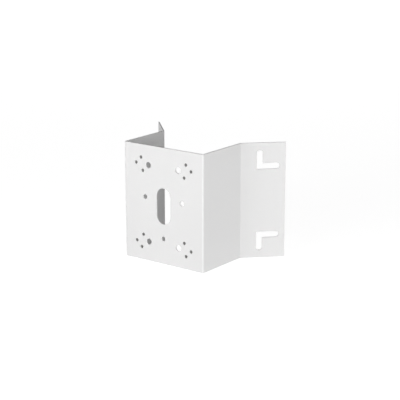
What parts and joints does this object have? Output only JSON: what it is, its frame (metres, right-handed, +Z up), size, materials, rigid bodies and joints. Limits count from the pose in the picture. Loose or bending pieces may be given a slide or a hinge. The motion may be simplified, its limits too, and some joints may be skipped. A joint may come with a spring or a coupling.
{
  "type": "corner mount bracket",
  "caption": "Folded sheet-steel bracket that seats over a building's outside corner: front plate with cable slot and screw holes, two side walls, and splayed wings with L-shaped slots.",
  "frame": {"origin": "below the middle of the overall box, on the plane of the bracket's lower edges", "axes": "the front plate faces -Y and the wings reach back towards +Y; +X runs along the plate; +Z runs up the building's corner"},
  "size_m": [0.2388, 0.1394, 0.175],
  "materials": {
    "powder_coat": "satin white powder coat"
  },
  "bodies": {
    "root": {"folded_bracket": "powder_coat"}
  },
  "joints": []
}
